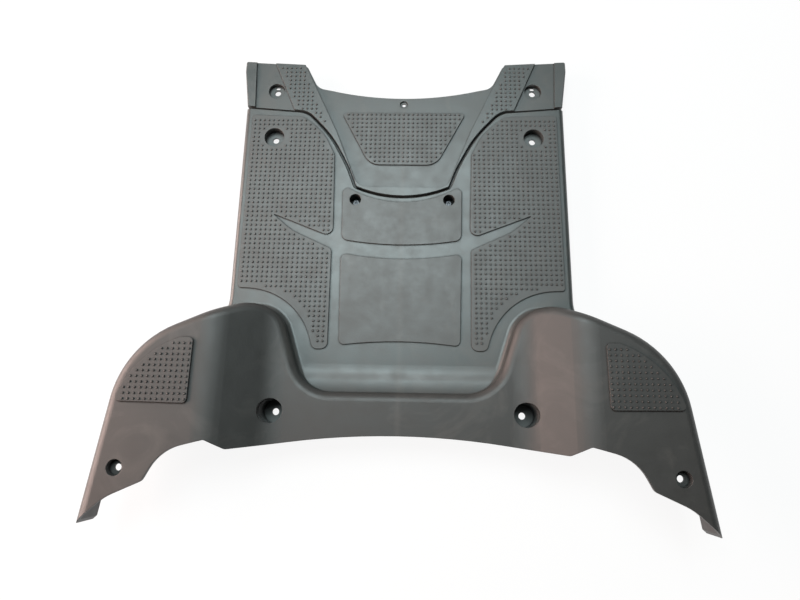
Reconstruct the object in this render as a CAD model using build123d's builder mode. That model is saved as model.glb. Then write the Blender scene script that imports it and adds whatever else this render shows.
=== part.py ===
"""Scooter floorboard: a foot board with raised rear wings, a front panel and two joining screws.

Millimetres. X runs across the board, +Y to its front, +Z up, with z = 0 at the foot of the side skirts.
"""

import os

from build123d import *

os.makedirs("parts", exist_ok=True)

# Heights of the upper surfaces
floor_top = 22.0
band_top = floor_top + 16.0
wing_top = floor_top + 45.0
pad_rise = 1.3
wing_pad_rise = 2.0
tab_top = floor_top - 2.5
centre_top = floor_top - 4.5

# Walls and edges
wall = 3.0
side_round = 5.0
rim_round = 9.0
inner_chamfer = 3.5
foot_round = 5.0
seam_chamfer = 1.0
front_chamfer = 1.2
cup_wall = 2.5
reach = 320.0

# Board plan
floor_half = 171.5
floor_front = 182.0
seam_gap = 2.4
slope_foot = 118.0
slope_head = 167.0
slope_round = 45.0
ramp_front = -96.0
ramp_back = -126.0
ramp_rise = 8.0
tail_skirt_z = 34.0

# Bolt wells of the frame bolts, all with the same seat height
seat_z = 15.0
base_t = 2.0
bolt_r = 3.3
floor_bolt = (138.0, 146.0)
floor_well_r = 10.5
band_bolt = (118.0, -142.0)
band_well_r = 11.2
tab_bolt = (140.0, 204.0)
tab_well_r = 9.0
wing_bolt = (242.0, -193.5)
wing_bolt_r = 3.0
wing_well_r = 7.0
wing_seat_z = wing_top - 7.5
nose_bolt = (0.0, 189.0)
nose_bolt_r = 1.9
nose_well_r = 4.4
nose_seat_z = centre_top - 1.5
nose_skirt_z = 10.5

# Joining screws in their wells
screw_place = (48.5, 75.0)
screw_well_r = 6.0
screw_seat_z = 11.5
screw_base = 2.5
head_r = 3.8
head_h = 2.6
thread_r = 2.0
thread_clear = 0.1
hole_clear = 0.3
screw_length = 9.5
shelf_top = screw_seat_z - screw_base
shelf_bottom = shelf_top - wall
boss_r = 5.0
boss_bottom = screw_seat_z - screw_length - 1.0

# Lip of the front panel below the edge of the board
lip_clear = 0.5
lip_drop = 4.0
lip_top = floor_top - wall - lip_drop
lip_reach = 3.0

# Ribs below the foot area
rib_t = 2.0
rib_bottom = 13.0


def both_sides(point):
    return [point, (-point[0], point[1])]


def mirrored(points, radii):
    """Closed outline through points of the +X half and their mirror image."""
    left = [(-x, y) for x, y in reversed(points)]
    return FilletPolyline(points + left, radius=radii + radii[::-1], close=True)


# Plan of the foot area, with flared rear corners that run into the raised part
with BuildSketch() as floor_plan:
    with BuildLine():
        right_seam = FilletPolyline(
            [
                (202, -75),
                (floor_half, -47),
                (floor_half, floor_front),
                (104, 176.5),
                (77, 147),
                (59, 113),
                (50, 89),
            ],
            radius=[40, 0, 22, 120, 120],
        )
        mirror(right_seam, about=Plane.YZ)
        ThreePointArc((-50, 89), (0, 78), (50, 89))
        Line((-202, -75), (202, -75))
    make_face()
    seam_corners = floor_plan.vertices().filter_by(lambda v: abs(abs(v.X) - 50) < 0.5)
    fillet(seam_corners, radius=6)

# Plan of the raised rear part: heel corners, shoulder and outer wing sides
with BuildSketch() as raised_plan:
    with BuildLine():
        mirrored(
            [(90, -123), (116.5, -41), (148.5, -41), (250.5, -85.5), (280, -300)],
            [37, 32, 40, 88, 0],
        )
    make_face()

# Cross section of the raised rear part: band, swept slope and flat wing
with BuildSketch(Plane.XZ) as raised_section:
    with BuildLine():
        FilletPolyline(
            [
                (0, -60),
                (0, band_top),
                (slope_foot, band_top),
                (slope_head, wing_top),
                (reach, wing_top),
                (reach, -60),
            ],
            radius=[0, 0, slope_round, slope_round, 0, 0],
            close=True,
        )
    make_face()
    mirror(about=Plane.YZ)

# Rear edge of the board: arch below the band, notches and tails
with BuildSketch() as rear_open:
    with BuildLine():
        rear_edge = FilletPolyline(
            [
                (100, -170),
                (151, -177),
                (168, -169),
                (204, -178.5),
                (217, -204),
                (248, -218),
                (276, -244),
                (340, -300),
            ],
            radius=[5, 5, 38, 7, 40, 0],
        )
        mirror(rear_edge, about=Plane.YZ)
        ThreePointArc((-100, -170), (0, -163), (100, -170))
        Line((-340, -300), (340, -300))
    make_face()

# Raised rear part with a rounded rim
with BuildPart() as raised_outer:
    with BuildSketch(Plane.XZ):
        add(raised_section.sketch_local)
    extrude(amount=reach, both=True)
    with BuildSketch():
        add(raised_plan.sketch_local)
    extrude(amount=wing_top + 10, mode=Mode.INTERSECT)
    rim = raised_outer.edges().filter_by(
        lambda e: e.bounding_box().min.Z > band_top - 1 and e.center().Y > -290
    )
    fillet(rim, radius=rim_round)

# Hollow below the raised rear part
with BuildPart() as raised_inner:
    with BuildSketch(Plane.XZ):
        add(raised_section.sketch_local)
        offset(amount=-wall, mode=Mode.REPLACE)
    extrude(amount=reach, both=True)
    with BuildSketch(Plane.XY.offset(-40)):
        add(raised_plan.sketch_local)
        offset(amount=-wall, mode=Mode.REPLACE)
    extrude(amount=wing_top + 50, mode=Mode.INTERSECT)
    inner_rim = raised_inner.edges().filter_by(
        lambda e: e.bounding_box().min.Z > band_top - wall - 1 and e.center().Y > -290
    )
    chamfer(inner_rim, length=inner_chamfer)

# Cove that eases the foot area into the wall of the raised part
with BuildPart() as cove:
    with BuildSketch(Plane.XY.offset(floor_top - 1)):
        with Locations((0, -60)):
            Rectangle(600, 300)
    extrude(amount=1)
    with BuildSketch(Plane.XY.offset(floor_top)):
        add(raised_plan.sketch_local)
    extrude(amount=foot_round + 2)
    wall_foot = cove.edges().filter_by(
        lambda e: abs(e.center().Z - floor_top) < 0.1 and -209 < e.center().Y < 89 and abs(e.center().X) < 290
    )
    fillet(wall_foot, radius=foot_round)
    with BuildSketch(Plane.XY.offset(floor_top - 1)):
        add(floor_plan.sketch_local)
        offset(amount=-side_round, mode=Mode.REPLACE)
        with Locations((0, -100)):
            Rectangle(300, 100)
    extrude(amount=foot_round + 1, mode=Mode.INTERSECT)

# Outlines of the raised pads and plain panels, one side where they come in pairs
with BuildSketch() as grip_pad:
    with BuildLine():
        FilletPolyline(
            [
                (163, 172.5),
                (107, 170.5),
                (84, 150),
                (72.4, 126),
                (70, 33.5),
                (134, 59),
                (113, 40.5),
                (71, 21),
                (70.2, -81.5),
                (85, -81.5),
                (101, -23),
                (163, -20.5),
            ],
            radius=[3, 15, 60, 8, 7, 0.5, 60, 5, 6.5, 6, 70, 3],
            close=True,
        )
    make_face()

with BuildSketch() as wing_pad:
    with BuildLine():
        pad_arc = ThreePointArc((196, -79.5), (228.5, -100), (250, -137))
        Polyline(pad_arc @ 1, (184.8, -138), (184.4, -79.5), pad_arc @ 0)
    make_face()
    fillet(wing_pad.vertices(), radius=4)

with BuildSketch() as small_panel:
    with BuildLine():
        small_top = ThreePointArc((-57, 88.5), (0, 72.4), (57, 88.5))
        small_low = ThreePointArc((-60.8, 31.5), (0, 26), (60.8, 31.5))
        Polyline(small_top @ 1, (61.6, 85), small_low @ 1)
        Polyline(small_top @ 0, (-61.6, 85), small_low @ 0)
    make_face()
    fillet(small_panel.vertices().sort_by(Axis.Y)[:2], radius=7)
    fillet(small_panel.vertices().sort_by(Axis.Y)[-4:], radius=2.5)

with BuildSketch() as large_panel:
    with BuildLine():
        large_top = ThreePointArc((-61, 16.5), (0, 10.7), (61, 16.5))
        large_low = ThreePointArc((-59, -77.5), (0, -73.3), (59, -77.5))
        Line(large_top @ 0, large_low @ 0)
        Line(large_top @ 1, large_low @ 1)
    make_face()
    fillet(large_panel.vertices(), radius=5)

with BuildPart() as floorboard:
    # Foot area with rounded sides and a lightly broken seam edge
    with BuildSketch():
        add(floor_plan.sketch_local)
    extrude(amount=floor_top)
    sides = floorboard.edges().filter_by(
        lambda e: e.center().Z > floor_top - 0.1 and abs(e.center().X) > floor_half - 1.5
    )
    fillet(sides, radius=side_round)
    seam = floorboard.edges().filter_by(
        lambda e: e.bounding_box().min.Z > floor_top - 0.1 and e.center().Y > 70
    )
    chamfer(seam.filter_by(lambda e: abs(e.center().X) < floor_half - 11), length=seam_chamfer)
    # Foot area reaches back below the raised part and curves up to it at the heel
    with BuildSketch():
        with Locations((0, -100)):
            Rectangle(300, 100)
    extrude(amount=floor_top)
    with BuildSketch(Plane.YZ):
        with BuildLine():
            ramp_head = (ramp_back, floor_top + ramp_rise)
            ramp_line = TangentArc((ramp_front, floor_top), ramp_head, tangent=(-1, 0))
            Polyline(ramp_line @ 1, (ramp_back, floor_top), ramp_line @ 0)
        make_face()
    extrude(amount=110, both=True)
    add(raised_outer.part)
    add(cove.part)
    # Hollow underside, open at the seam and at the rear edge
    with BuildSketch(Plane.XY.offset(-1)):
        add(floor_plan.sketch_local)
        offset(amount=-wall, mode=Mode.REPLACE)
        with Locations((0, 100)):
            Rectangle(2 * (floor_half - wall), 300)
        with Locations((0, -100)):
            Rectangle(300, 100)
    extrude(amount=floor_top - wall + 1, mode=Mode.SUBTRACT)
    add(raised_inner.part, mode=Mode.SUBTRACT)
    with BuildSketch(Plane.XY.offset(-1)):
        add(rear_open.sketch_local)
    extrude(amount=wing_top + 2, mode=Mode.SUBTRACT)
    # Wing skirts rise towards the tails
    with BuildSketch(Plane.YZ):
        with BuildLine():
            FilletPolyline(
                [(-70, -5), (-70, 0), (-205, tail_skirt_z), (-260, tail_skirt_z), (-260, -5)],
                radius=[0, 0, 60, 0, 0],
                close=True,
            )
        make_face()
    extrude(amount=reach, both=True, mode=Mode.SUBTRACT)
    # Ribs below the foot area
    with BuildSketch(Plane.XY.offset(rib_bottom)):
        for x, y_low, y_high in [(66, -118, 112), (104, -71, 164)]:
            with Locations((x, (y_low + y_high) / 2), (-x, (y_low + y_high) / 2)):
                Rectangle(rib_t, y_high - y_low)
        with Locations((0, 40), (0, -15)):
            Rectangle(2 * (floor_half - wall) + 1, rib_t)
        with Locations((0, -70)):
            Rectangle(210, rib_t)
    extrude(amount=floor_top - wall - rib_bottom + 0.5)
    # Raised pads and panels
    with BuildSketch(Plane.XY.offset(floor_top)):
        add(grip_pad.sketch_local)
        mirror(grip_pad.sketch_local, about=Plane.YZ)
        add(small_panel.sketch_local)
        add(large_panel.sketch_local)
    extrude(amount=pad_rise)
    with BuildSketch(Plane.XY.offset(wing_top)):
        add(wing_pad.sketch_local)
        mirror(wing_pad.sketch_local, about=Plane.YZ)
    extrude(amount=wing_pad_rise)
    # Cups of the bolt wells and screw wells
    for place, well_r, low, high in [
        (floor_bolt, floor_well_r, seat_z - base_t, floor_top),
        (band_bolt, band_well_r, seat_z - base_t, band_top),
        (wing_bolt, wing_well_r, wing_seat_z - base_t, wing_top),
        (screw_place, screw_well_r, shelf_top, floor_top),
    ]:
        with BuildSketch(Plane.XY.offset(low)):
            with Locations(*both_sides(place)):
                Circle(well_r + cup_wall)
        extrude(amount=high - 1 - low)
    # Wells and their holes
    for place, well_r, seat, hole_r in [
        (floor_bolt, floor_well_r, seat_z, bolt_r),
        (band_bolt, band_well_r, seat_z, bolt_r),
        (wing_bolt, wing_well_r, wing_seat_z, wing_bolt_r),
        (screw_place, screw_well_r, screw_seat_z, thread_r + hole_clear),
    ]:
        with BuildSketch(Plane.XY.offset(seat)):
            with Locations(*both_sides(place)):
                Circle(well_r)
        extrude(amount=60, mode=Mode.SUBTRACT)
        with BuildSketch(Plane.XY.offset(seat - 20)):
            with Locations(*both_sides(place)):
                Circle(hole_r)
        extrude(amount=30, mode=Mode.SUBTRACT)

# Plan of the front panel: horns, front edge, and the seam kept clear of the foot area
with BuildSketch() as front_plan:
    with BuildLine():
        horn = FilletPolyline(
            [(170.5, 100), (170.5, 184), (176.2, 228), (176, 240), (108.5, 236.3), (95, 209), (80, 205.9)],
            radius=[0, 30, 2, 5, 14],
        )
        mirror(horn, about=Plane.YZ)
        ThreePointArc((-80, 205.9), (0, 196.3), (80, 205.9))
        Polyline((-170.5, 100), (-170.5, 60), (170.5, 60), (170.5, 100))
    make_face()
    offset(floor_plan.sketch_local, amount=seam_gap, mode=Mode.SUBTRACT)

# Plan of the sunk centre of the front panel
with BuildSketch() as centre_plan:
    with BuildLine():
        FilletPolyline(
            [(116.5, 250), (72, 154.5), (47, 90), (-47, 90), (-72, 154.5), (-116.5, 250)],
            radius=[0, 150, 16, 16, 150, 0],
            close=True,
        )
    make_face()

with BuildPart() as front_panel:
    with BuildSketch():
        add(front_plan.sketch_local)
    extrude(amount=floor_top)
    front_edges = front_panel.edges().filter_by(
        lambda e: e.bounding_box().min.Z > floor_top - 0.1 and (e.center().Y > 190 or abs(e.center().X) > 168)
    )
    chamfer(front_edges, length=front_chamfer)
    # Sunk corner tabs and a deeper sunk centre, leaving the flanges and strips standing
    with BuildSketch(Plane.XY.offset(tab_top)):
        with BuildLine():
            Polyline((164.8, 250), (161.5, 170), (114.2, 170), (148.2, 250), (164.8, 250))
        make_face()
        mirror(about=Plane.YZ)
    extrude(amount=10, mode=Mode.SUBTRACT)
    with BuildSketch(Plane.XY.offset(centre_top)):
        add(centre_plan.sketch_local)
    extrude(amount=10, mode=Mode.SUBTRACT)
    # Hollow underside in two depths, with side skirts and a shallower wall around the rest
    with BuildSketch(Plane.XY.offset(-1)):
        add(front_plan.sketch_local)
        offset(amount=-wall, mode=Mode.REPLACE)
    extrude(amount=centre_top - wall + 1, mode=Mode.SUBTRACT)
    with BuildSketch(Plane.XY.offset(-1)):
        add(front_plan.sketch_local)
        offset(amount=-wall, mode=Mode.REPLACE)
        offset(centre_plan.sketch_local, amount=wall, mode=Mode.SUBTRACT)
    extrude(amount=tab_top - wall + 1, mode=Mode.SUBTRACT)
    with BuildSketch(Plane.XY.offset(-1)):
        with Locations((0, 160)):
            Rectangle(2 * 158, 220)
    extrude(amount=shelf_bottom + 1, mode=Mode.SUBTRACT)
    with BuildSketch(Plane.XY.offset(-1)):
        with Locations((0, 205)):
            Rectangle(2 * 70, 30)
    extrude(amount=nose_skirt_z + 1, mode=Mode.SUBTRACT)
    # Lip that runs along the seam below the edge of the board
    with BuildSketch(Plane.XY.offset(lip_top - wall)):
        offset(floor_plan.sketch_local, amount=seam_gap + 1)
        offset(floor_plan.sketch_local, amount=-lip_reach, mode=Mode.SUBTRACT)
        with Locations((0, 130)):
            Rectangle(2 * (floor_half - wall - lip_clear), 130, mode=Mode.INTERSECT)
    extrude(amount=wall)
    # Raised pad on the sunk centre
    with BuildSketch(Plane.XY.offset(centre_top)):
        with BuildLine():
            FilletPolyline(
                [(67, 178), (35.3, 117), (-35.3, 117), (-67, 178)],
                radius=[3, 18, 18, 3],
                close=True,
            )
        make_face()
    extrude(amount=pad_rise)
    # Shelf below the board with a boss for each joining screw
    with BuildSketch(Plane.XY.offset(shelf_bottom)):
        with Locations((0, 80)):
            RectangleRounded(114, 34, 6)
    extrude(amount=wall)
    with BuildSketch(Plane.XY.offset(boss_bottom)):
        with Locations(*both_sides(screw_place)):
            Circle(boss_r)
    extrude(amount=shelf_top - boss_bottom)
    with BuildSketch(Plane.XY.offset(boss_bottom)):
        with Locations(*both_sides(screw_place)):
            Circle(thread_r + thread_clear)
    extrude(amount=shelf_top - boss_bottom, mode=Mode.SUBTRACT)
    # Bolt wells of the corner tabs, each with a small drain slot, and the nose hole
    with BuildSketch(Plane.XY.offset(seat_z - base_t)):
        with Locations(*both_sides(tab_bolt)):
            Circle(tab_well_r + cup_wall)
    extrude(amount=tab_top - 1 - seat_z + base_t)
    with BuildSketch(Plane.XY.offset(seat_z)):
        with Locations(*both_sides(tab_bolt)):
            Circle(tab_well_r)
    extrude(amount=20, mode=Mode.SUBTRACT)
    with BuildSketch(Plane.XY.offset(seat_z - 10)):
        with Locations(*both_sides(tab_bolt)):
            Circle(bolt_r)
        with Locations(*both_sides((tab_bolt[0], tab_bolt[1] + 6))):
            SlotOverall(5, 3)
    extrude(amount=20, mode=Mode.SUBTRACT)
    with BuildSketch(Plane.XY.offset(nose_seat_z)):
        with Locations(nose_bolt):
            Circle(nose_well_r)
    extrude(amount=10, mode=Mode.SUBTRACT)
    with BuildSketch(Plane.XY):
        with Locations(nose_bolt):
            Circle(nose_bolt_r)
    extrude(amount=floor_top, mode=Mode.SUBTRACT)

with BuildPart() as joining_screws:
    with BuildSketch(Plane.XY.offset(screw_seat_z)):
        with Locations(*both_sides(screw_place)):
            Circle(head_r)
    extrude(amount=head_h)
    crowns = joining_screws.edges().filter_by(lambda e: e.center().Z > screw_seat_z + head_h - 0.1)
    chamfer(crowns, length=0.8)
    with BuildSketch(Plane.XY.offset(screw_seat_z - screw_length)):
        with Locations(*both_sides(screw_place)):
            Circle(thread_r)
    extrude(amount=screw_length)
    # Cross recess
    with BuildSketch(Plane.XY.offset(screw_seat_z + head_h - 1.4)):
        with Locations(*both_sides(screw_place)):
            Rectangle(3.6, 0.9)
            Rectangle(0.9, 3.6)
    extrude(amount=5, mode=Mode.SUBTRACT)

floorboard.part.label = "floorboard"
front_panel.part.label = "front_panel"
joining_screws.part.label = "joining_screws"
export_step(floorboard.part, "parts/floorboard.step")
export_step(front_panel.part, "parts/front_panel.step")
export_step(joining_screws.part, "parts/joining_screws.step")
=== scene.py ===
import math
import bmesh
import bpy
from mathutils import Matrix, Vector


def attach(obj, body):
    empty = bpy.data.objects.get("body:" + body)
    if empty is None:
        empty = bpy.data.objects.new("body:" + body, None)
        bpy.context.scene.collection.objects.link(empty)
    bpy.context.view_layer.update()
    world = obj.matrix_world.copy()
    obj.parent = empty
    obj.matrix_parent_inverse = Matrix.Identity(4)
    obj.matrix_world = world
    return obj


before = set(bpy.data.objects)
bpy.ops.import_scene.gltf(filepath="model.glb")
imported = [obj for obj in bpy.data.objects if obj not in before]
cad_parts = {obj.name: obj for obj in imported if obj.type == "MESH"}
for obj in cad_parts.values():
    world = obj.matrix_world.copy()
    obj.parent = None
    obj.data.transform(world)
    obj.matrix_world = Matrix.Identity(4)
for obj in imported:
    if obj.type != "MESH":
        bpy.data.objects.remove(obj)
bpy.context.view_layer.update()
print("frame loaded:", sorted(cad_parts))

mm = 0.001   # the frame is in metres, the settings of pieces and materials in millimetres


def linear(hexColour):
    channels = [int(hexColour[i:i + 2], 16) / 255 for i in (1, 3, 5)]
    return [c / 12.92 if c <= 0.04045 else ((c + 0.055) / 1.055) ** 2.4 for c in channels] + [1.0]


def addNode(tree, kind, inputs=None, **settings):
    node = tree.nodes.new(kind)
    for name, value in settings.items():
        setattr(node, name, value)
    for name, value in (inputs or {}).items():
        if isinstance(value, bpy.types.NodeSocket):
            tree.links.new(value, node.inputs[name])
        else:
            node.inputs[name].default_value = value
    return node


def newMaterial(name):
    material = bpy.data.materials.new(name)
    material.use_nodes = True
    material.node_tree.nodes.clear()
    return material, material.node_tree


# Polypropylene, injection moulded: charcoal. The flat of the floor and of the front panel is
# smooth, pads and wings are spark-eroded, so that the soft box overhead shows clearest in the
# smooth parts. The cool tint of the smooth colour is a painted reflection of the cool box
# overhead, the warm tint of the grained colour painted light of the warm box on the left
plastic = {
    "smooth": "#424746",
    "grained": "#454442",
    "upperShade": "#373533",          # painted shade: band and wings drawn darker and browner, for how the light falls on them
    "rubbed": "#4d4c4a",         # where shoes and handling have polished it
    "chalky": "#595551",         # dry smears left by handling, and the flow line
    "cornerShade": "#0f100f",           # painted shade: darkens the seams and the corners at the foot of pads and dots
    "ior": 1.49,
    "specular": 0.9,             # a silicone dressing lifts the sheen of the bare plastic
    "heights": [                 # a height, and how smooth the mould is there
        (0, 0.6), (17.9, 0.6), (18.3, 0.0), (19.0, 0.0), (19.3, 0.7), (21.8, 1.0), (22.5, 1.0),
        (22.8, 0.0), (23.6, 0.0), (24.0, 0.8), (30, 0.5), (36, 0.0), (70, 0.0)],
    "smoothRoughness": 0.36,
    "grainedRoughness": 0.44,
    "patchyFrom": (0.3, 0.7),    # range of the noise over which it comes in
    "patchyRoughness": (-0.05, 0.07),
    "rubbedFrom": (0.38, 0.72),  # noise too
    "rubbedShare": 0.7,
    "upperFrom": (25, 36),       # heights
    "upperShare": 0.85,
    "upperRoughness": 0.08,      # added on band and wings
    "smearFrom": (0.54, 0.74),   # noise too
    "smearShare": 0.45,
    "smearSize": 60,
    "cloudSize": 16,
    "grainSize": 1.1,            # a real tool grain is near 0.2 mm, drawn coarser so that it shows
    "grainDepth": 0.09,
    "grainStrength": 0.6,
    "flowWidth": 4.0,            # half width of the pale flow line down the middle
    "flowShare": 0.3,
    # painted shade in the corners: how far the occlusion looks, where it comes in and how dark it
    # is, and the roughness added there
    "cornerShadeReach": 2.2,
    "cornerShadeFrom": (0.45, 0.92),    # how open the corner is
    "cornerShadeShare": 0.85,
    "cornerShadeRoughness": 0.5,        # added in the corners
    "cornerShadeSamples": 6,
    "edgeRound": 0.7,            # broken edges, which catch the soft boxes as thin lines
    "edgeSamples": 4,
}


def mouldedPlastic(name):
    material, tree = newMaterial(name)
    place = addNode(tree, "ShaderNodeTexCoord").outputs["Object"]
    axes = addNode(tree, "ShaderNodeSeparateXYZ", {"Vector": place})

    # pads, floor and panels each have a height of their own, which tells their finish
    top = plastic["heights"][-1][0]
    height = addNode(tree, "ShaderNodeMath", {
        0: axes.outputs["Z"], 1: 1 / (top * mm)}, operation="MULTIPLY")
    smoothness = addNode(tree, "ShaderNodeValToRGB", {"Fac": height.outputs[0]})
    stops = smoothness.color_ramp.elements
    for inner in plastic["heights"][1:-1]:
        stops.new(inner[0] / top)
    for stop, (level, share) in zip(stops, plastic["heights"]):
        stop.position = level / top
        stop.color = (share, share, share, 1)

    smear = addNode(tree, "ShaderNodeTexNoise", {
        "Vector": place, "Scale": 1 / (plastic["smearSize"] * mm),
        "Detail": 4.0, "Roughness": 0.6, "Distortion": 1.6})
    cloud = addNode(tree, "ShaderNodeTexNoise", {
        "Vector": place, "Scale": 1 / (plastic["cloudSize"] * mm),
        "Detail": 5.0, "Roughness": 0.65})
    grain = addNode(tree, "ShaderNodeTexNoise", {
        "Vector": place, "Scale": 1 / (plastic["grainSize"] * mm),
        "Detail": 2.0, "Roughness": 0.5})

    rubbedShare = addNode(tree, "ShaderNodeMapRange", {
        "Value": cloud.outputs["Fac"], "To Max": plastic["rubbedShare"],
        "From Min": plastic["rubbedFrom"][0], "From Max": plastic["rubbedFrom"][1]})
    # painted shade: from 25 to 36 mm up, on band and wings, the colour goes towards the darker
    # upper colour
    upperShare = addNode(tree, "ShaderNodeMapRange", {
        "Value": axes.outputs["Z"], "To Max": plastic["upperShare"],
        "From Min": plastic["upperFrom"][0] * mm, "From Max": plastic["upperFrom"][1] * mm})
    smearShare = addNode(tree, "ShaderNodeMapRange", {
        "Value": smear.outputs["Fac"], "To Max": plastic["smearShare"],
        "From Min": plastic["smearFrom"][0], "From Max": plastic["smearFrom"][1]})
    offLine = addNode(tree, "ShaderNodeMath", {0: axes.outputs["X"]}, operation="ABSOLUTE")
    flowShare = addNode(tree, "ShaderNodeMapRange", {
        "Value": offLine.outputs[0], "From Min": 0.0, "From Max": plastic["flowWidth"] * mm,
        "To Min": plastic["flowShare"], "To Max": 0.0})
    # painted shade: ambient occlusion darkens corners, seams and the foot of each dot towards the
    # dark colour, and roughens them
    corner = addNode(tree, "ShaderNodeAmbientOcclusion", {
        "Distance": plastic["cornerShadeReach"] * mm}, samples=plastic["cornerShadeSamples"])
    cornerShadeShare = addNode(tree, "ShaderNodeMapRange", {
        "Value": corner.outputs["AO"], "To Min": plastic["cornerShadeShare"], "To Max": 0.0,
        "From Min": plastic["cornerShadeFrom"][0], "From Max": plastic["cornerShadeFrom"][1]})

    # a Mix node's colours are its inputs 6 and 7 and its output 2
    # grained and smooth colours, whose warm and cool tints are painted light of the two soft boxes
    colour = addNode(tree, "ShaderNodeMix", {
        0: smoothness.outputs["Color"],
        6: linear(plastic["grained"]), 7: linear(plastic["smooth"])}, data_type="RGBA")
    for share, finish in ((rubbedShare, "rubbed"), (upperShare, "upperShade"), (smearShare, "chalky"),
                          (flowShare, "chalky"), (cornerShadeShare, "cornerShade")):
        colour = addNode(tree, "ShaderNodeMix", {
            0: share.outputs["Result"],
            6: colour.outputs[2], 7: linear(plastic[finish])}, data_type="RGBA")

    sheen = addNode(tree, "ShaderNodeMapRange", {
        "Value": smoothness.outputs["Color"],
        "To Min": plastic["grainedRoughness"], "To Max": plastic["smoothRoughness"]})
    patchy = addNode(tree, "ShaderNodeMapRange", {
        "Value": cloud.outputs["Fac"],
        "From Min": plastic["patchyFrom"][0], "From Max": plastic["patchyFrom"][1],
        "To Min": plastic["patchyRoughness"][0], "To Max": plastic["patchyRoughness"][1]})
    roughness = addNode(tree, "ShaderNodeMath", {
        0: sheen.outputs["Result"], 1: patchy.outputs["Result"]})
    for share, added in ((upperShare, "upperRoughness"), (cornerShadeShare, "cornerShadeRoughness")):
        roughness = addNode(tree, "ShaderNodeMath", {
            0: share.outputs["Result"], 1: plastic[added],
            2: roughness.outputs[0]}, operation="MULTIPLY_ADD")

    edge = addNode(tree, "ShaderNodeBevel", {
        "Radius": plastic["edgeRound"] * mm}, samples=plastic["edgeSamples"])
    bump = addNode(tree, "ShaderNodeBump", {
        "Height": grain.outputs["Fac"], "Strength": plastic["grainStrength"],
        "Distance": plastic["grainDepth"] * mm, "Normal": edge.outputs["Normal"]})
    shader = addNode(tree, "ShaderNodeBsdfPrincipled", {
        "Base Color": colour.outputs[2], "Roughness": roughness.outputs[0],
        "Normal": bump.outputs["Normal"],
        "IOR": plastic["ior"], "Specular IOR Level": plastic["specular"]})
    addNode(tree, "ShaderNodeOutputMaterial", {"Surface": shader.outputs["BSDF"]})
    return material


# Zinc-plated steel under a black passivate: dark, with a dull metal gleam in worn spots
screwSteel = {
    "plated": "#55565a",
    "worn": "#97979a",
    "wornFrom": (0.45, 0.75),    # range of the noise
    "roughness": (0.38, 0.55),
    "wearSize": 1.2,
    "wearDepth": 0.03,
    "wearStrength": 0.3,
}


def platedSteel(name):
    material, tree = newMaterial(name)
    place = addNode(tree, "ShaderNodeTexCoord").outputs["Object"]
    wear = addNode(tree, "ShaderNodeTexNoise", {
        "Vector": place, "Scale": 1 / (screwSteel["wearSize"] * mm), "Detail": 4.0})
    wornShare = addNode(tree, "ShaderNodeMapRange", {
        "Value": wear.outputs["Fac"],
        "From Min": screwSteel["wornFrom"][0], "From Max": screwSteel["wornFrom"][1]})
    colour = addNode(tree, "ShaderNodeMix", {
        0: wornShare.outputs["Result"],
        6: linear(screwSteel["plated"]), 7: linear(screwSteel["worn"])}, data_type="RGBA")
    roughness = addNode(tree, "ShaderNodeMapRange", {
        "Value": wear.outputs["Fac"],
        "To Min": screwSteel["roughness"][0], "To Max": screwSteel["roughness"][1]})
    bump = addNode(tree, "ShaderNodeBump", {
        "Height": wear.outputs["Fac"], "Strength": screwSteel["wearStrength"],
        "Distance": screwSteel["wearDepth"] * mm})
    shader = addNode(tree, "ShaderNodeBsdfPrincipled", {
        "Base Color": colour.outputs[2], "Metallic": 1.0,
        "Roughness": roughness.outputs["Result"], "Normal": bump.outputs["Normal"]})
    addNode(tree, "ShaderNodeOutputMaterial", {"Surface": shader.outputs["BSDF"]})
    return material


boardPlastic = mouldedPlastic("moulded_polypropylene")
screwMetal = platedSteel("black_plated_steel")
for nodeName, material in (("floorboard", boardPlastic), ("front_panel", boardPlastic),
                           ("joining_screws", screwMetal)):
    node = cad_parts[nodeName]
    node.data.materials.clear()
    node.data.materials.append(material)
print("materials on the CAD nodes")


def insideBy(point, outline):
    # distance from a point to the nearest side of a closed outline, negative outside it
    x, y = point
    inside, nearest = False, math.inf
    for (ax, ay), (bx, by) in zip(outline, outline[1:] + outline[:1]):
        if (ay > y) != (by > y) and x < (bx - ax) * (y - ay) / (by - ay) + ax:
            inside = not inside
        along = ((x - ax) * (bx - ax) + (y - ay) * (by - ay)) / ((bx - ax) ** 2 + (by - ay) ** 2)
        along = max(0.0, min(1.0, along))
        nearest = min(nearest, math.hypot(x - ax - along * (bx - ax), y - ay - along * (by - ay)))
    return nearest if inside else -nearest


# Fields of grip dots: one square grid across floor and front panel, another on each wing,
# with each dot's middle kept a margin inside its pad
gripDots = {
    "pitch": 5.0,
    "gridY": 96.0,               # one row of the grid, whose columns count from the middle
    "sides": 9,
    "footRadius": 1.3,
    "headRadius": 0.6,
    "rise": 1.1,
    "sink": 0.1,                 # foot of the dot below the face of the pad
    "margin": 1.9,
    "wellClear": 4.3,
}
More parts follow.
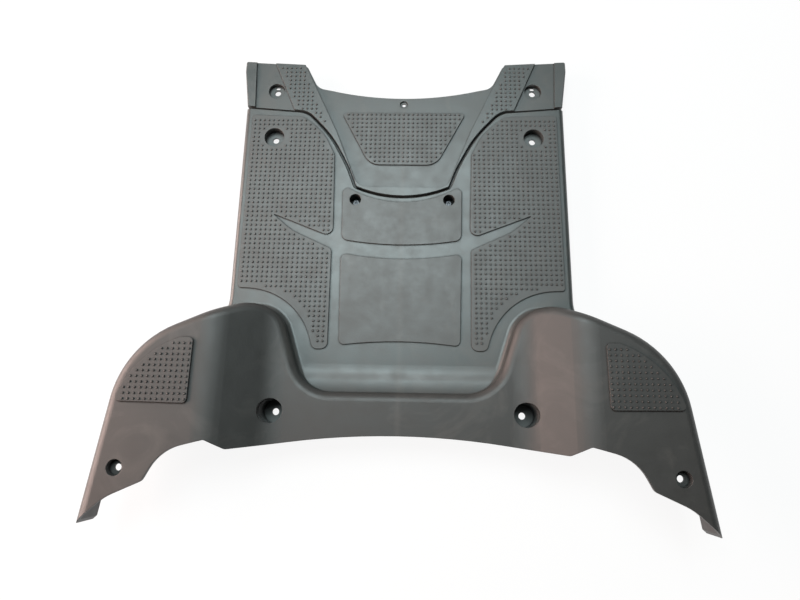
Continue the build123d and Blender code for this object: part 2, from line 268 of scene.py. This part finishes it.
# z is the face of the pad, outlines are those of the right half, a well is x, y and radius
floorField = {
    "name": "floor_grip_dots",
    "z": 23.3,
    "outline": [
        (163, 172.2), (107, 170.4), (88, 154), (74.5, 129), (70, 126), (70, 33.5), (100, 45.5),
        (134, 59), (122, 47), (113, 40.5), (95, 31), (71, 21), (70.2, -80.5), (80, -80.5),
        (84.5, -78), (89, -58), (96, -42), (107, -30), (121, -23.5), (140, -20.5), (163, -17.5)],
    "wells": [(138.0, 146.0, 10.5)],
}
centreField = {
    "name": "centre_grip_dots",
    "z": 18.8,
    "margin": 2.6,
    "outline": [                 # the whole pad, which lies across the middle
        (-69.5, 180.5), (-40, 122), (-35.3, 118), (-28, 117), (28, 117), (35.3, 118), (40, 122),
        (69.5, 180.5)],
}
stripField = {
    "name": "strip_grip_dots",
    "z": 22.0,
    "margin": 2.6,
    "outline": [
        (141, 236), (114, 173.5), (101, 176.1), (95, 170.6), (83, 154.6), (78, 156), (111, 236)],
}
wingField = {
    "name": "wing_grip_dots",
    "z": 69.0,
    "gridX": 186.8,
    "gridY": -135.0,
    "margin": 1.6,
    "outline": [
        (184.4, -79), (196, -79), (206, -84), (217, -91), (228.5, -100), (238, -112), (245, -124),
        (249.6, -139), (184.8, -139)],
}


def gridSteps(values, origin):
    first = math.floor((min(values) - origin) / gripDots["pitch"])
    last = math.ceil((max(values) - origin) / gripDots["pitch"])
    return [origin + step * gripDots["pitch"] for step in range(first, last + 1)]


def dotPlaces(field, side):
    margin = field.get("margin", gripDots["margin"])
    xs, ys = zip(*field["outline"])
    places = []
    for y in gridSteps(ys, field.get("gridY", gripDots["gridY"])):
        for x in gridSteps(xs, field.get("gridX", 0.0)):
            inWell = any(math.hypot(x - wellX, y - wellY) < radius + gripDots["wellClear"]
                         for wellX, wellY, radius in field.get("wells", []))
            if insideBy((x, y), field["outline"]) >= margin and not inWell:
                places.append((x * side, y))
    return places


def gripField(field, sides):
    places = [spot for side in sides for spot in dotPlaces(field, side)]
    dotForm = bmesh.new()
    lift = Matrix.Translation((0, 0, (gripDots["rise"] / 2 - gripDots["sink"]) * mm))
    bmesh.ops.create_cone(
        dotForm, cap_ends=True, segments=gripDots["sides"], depth=gripDots["rise"] * mm,
        radius1=gripDots["footRadius"] * mm, radius2=gripDots["headRadius"] * mm, matrix=lift)
    dotMesh = bpy.data.meshes.new("one_dot")
    dotForm.to_mesh(dotMesh)
    dotForm.free()
    bm = bmesh.new()
    for x, y in places:
        seat = Matrix.Translation((x * mm, y * mm, field["z"] * mm))
        dotMesh.transform(seat)
        bm.from_mesh(dotMesh)
        dotMesh.transform(seat.inverted())
    mesh = bpy.data.meshes.new(field["name"])
    bm.to_mesh(mesh)
    bm.free()
    piece = bpy.data.objects.new(field["name"], mesh)
    bpy.context.scene.collection.objects.link(piece)
    mesh.materials.append(boardPlastic)
    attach(piece, "root")
    print(field["name"], len(places), "dots")


gripField(floorField, (1, -1))
gripField(centreField, (1,))
gripField(stripField, (1, -1))
gripField(wingField, (1, -1))

# Pale studio floor, white to the camera and to reflections, that still takes a faint shadow
studio = {
    "floorSize": 8.0,            # metres
    "floorDrop": 0.3,            # mm below the part
    "floorColour": "#606060",
    "glow": 0.90,                # how white the paper shows
    "ambient": "#9aa09f",
    "ambientStrength": 0.12,
    "whiteTo": 0.05,             # sines of the elevation, see the air below
    "dimFrom": 0.25,
}
bm = bmesh.new()
bmesh.ops.create_grid(bm, x_segments=1, y_segments=1, size=studio["floorSize"] / 2,
                      matrix=Matrix.Translation((0, 0, -studio["floorDrop"] * mm)))
floorMesh = bpy.data.meshes.new("studio_floor")
bm.to_mesh(floorMesh)
bm.free()
studioFloor = bpy.data.objects.new("studio_floor", floorMesh)
bpy.context.scene.collection.objects.link(studioFloor)
floorMaterial, tree = newMaterial("studio_floor_paper")
rays = addNode(tree, "ShaderNodeLightPath")
mirrored = addNode(tree, "ShaderNodeMath", {
    0: rays.outputs["Is Glossy Ray"], 1: rays.outputs["Is Transmission Ray"]},
    operation="MAXIMUM")
shown = addNode(tree, "ShaderNodeMath", {
    0: rays.outputs["Is Camera Ray"], 1: mirrored.outputs[0]}, operation="MAXIMUM")
glowStrength = addNode(tree, "ShaderNodeMath", {
    0: shown.outputs[0], 1: studio["glow"]}, operation="MULTIPLY")
glow = addNode(tree, "ShaderNodeEmission", {
    "Color": (1, 1, 1, 1), "Strength": glowStrength.outputs[0]})
paper = addNode(tree, "ShaderNodeBsdfDiffuse", {"Color": linear(studio["floorColour"])})
both = addNode(tree, "ShaderNodeAddShader", {0: glow.outputs[0], 1: paper.outputs[0]})
addNode(tree, "ShaderNodeOutputMaterial", {"Surface": both.outputs[0]})
floorMesh.materials.append(floorMaterial)

# Air: white behind the object, which reflections see too, up to a little above the horizon,
# where the dim ceiling begins
world = bpy.data.worlds.new("studio_air")
bpy.context.scene.world = world
world.use_nodes = True
tree = world.node_tree
tree.nodes.clear()
rays = addNode(tree, "ShaderNodeLightPath")
outward = addNode(tree, "ShaderNodeTexCoord").outputs["Generated"]
direction = addNode(tree, "ShaderNodeSeparateXYZ", {"Vector": outward})
horizon = addNode(tree, "ShaderNodeMapRange", {
    "Value": direction.outputs["Z"],
    "From Min": studio["whiteTo"], "From Max": studio["dimFrom"], "To Min": 1.0, "To Max": 0.0})
mirrored = addNode(tree, "ShaderNodeMath", {
    0: rays.outputs["Is Glossy Ray"], 1: rays.outputs["Is Transmission Ray"]},
    operation="MAXIMUM")
lowMirrored = addNode(tree, "ShaderNodeMath", {
    0: mirrored.outputs[0], 1: horizon.outputs["Result"]}, operation="MULTIPLY")
shown = addNode(tree, "ShaderNodeMath", {
    0: rays.outputs["Is Camera Ray"], 1: lowMirrored.outputs[0]}, operation="MAXIMUM")
ambient = addNode(tree, "ShaderNodeBackground", {
    "Color": linear(studio["ambient"]), "Strength": studio["ambientStrength"]})
white = addNode(tree, "ShaderNodeBackground", {"Color": (1, 1, 1, 1), "Strength": 1.0})
air = addNode(tree, "ShaderNodeMixShader", {
    0: shown.outputs[0], 1: ambient.outputs[0], 2: white.outputs[0]})
addNode(tree, "ShaderNodeOutputWorld", {"Surface": air.outputs[0]})

# Soft boxes, in metres: a cool one overhead towards the front, whose reflection lies on the
# floor of the board, and a warm one on the left
lamps = [
    {"name": "overhead", "at": (-0.14, 0.62, 1.58), "to": (0, 0.05, 0),
     "size": (1.2, 0.88), "watts": 23, "colour": "#e7f8fa"},
    {"name": "leftSide", "at": (-1.15, -0.04, 0.44), "to": (0, -0.04, 0.02),
     "size": (1.3, 0.86), "watts": 26, "colour": "#ffe0d6"},
]
for lamp in lamps:
    data = bpy.data.lights.new(lamp["name"], "AREA")
    data.shape = "RECTANGLE"
    data.size, data.size_y = lamp["size"]
    data.energy = lamp["watts"]
    data.color = linear(lamp["colour"])[:3]
    lampObject = bpy.data.objects.new(lamp["name"], data)
    bpy.context.scene.collection.objects.link(lampObject)
    lampObject.location = lamp["at"]
    aim = Vector(lamp["to"]) - Vector(lamp["at"])
    lampObject.rotation_euler = aim.to_track_quat("-Z", "Y").to_euler()
print("studio and lamps set")

# Camera high above, a little behind the middle, as in the photograph
view = {
    "at": (14.5, -162.5, 565.1),
    "turn": (13.592, 1.281, 1.081),   # degrees
    "lens": 25.34,
    "sensor": 36.0,
}
cameraData = bpy.data.cameras.new("photo_camera")
cameraData.lens = view["lens"]
cameraData.sensor_width = view["sensor"]
camera = bpy.data.objects.new("photo_camera", cameraData)
bpy.context.scene.collection.objects.link(camera)
camera.location = [v * mm for v in view["at"]]
camera.rotation_euler = [math.radians(a) for a in view["turn"]]
bpy.context.scene.camera = camera
bpy.context.scene.view_settings.view_transform = "Standard"
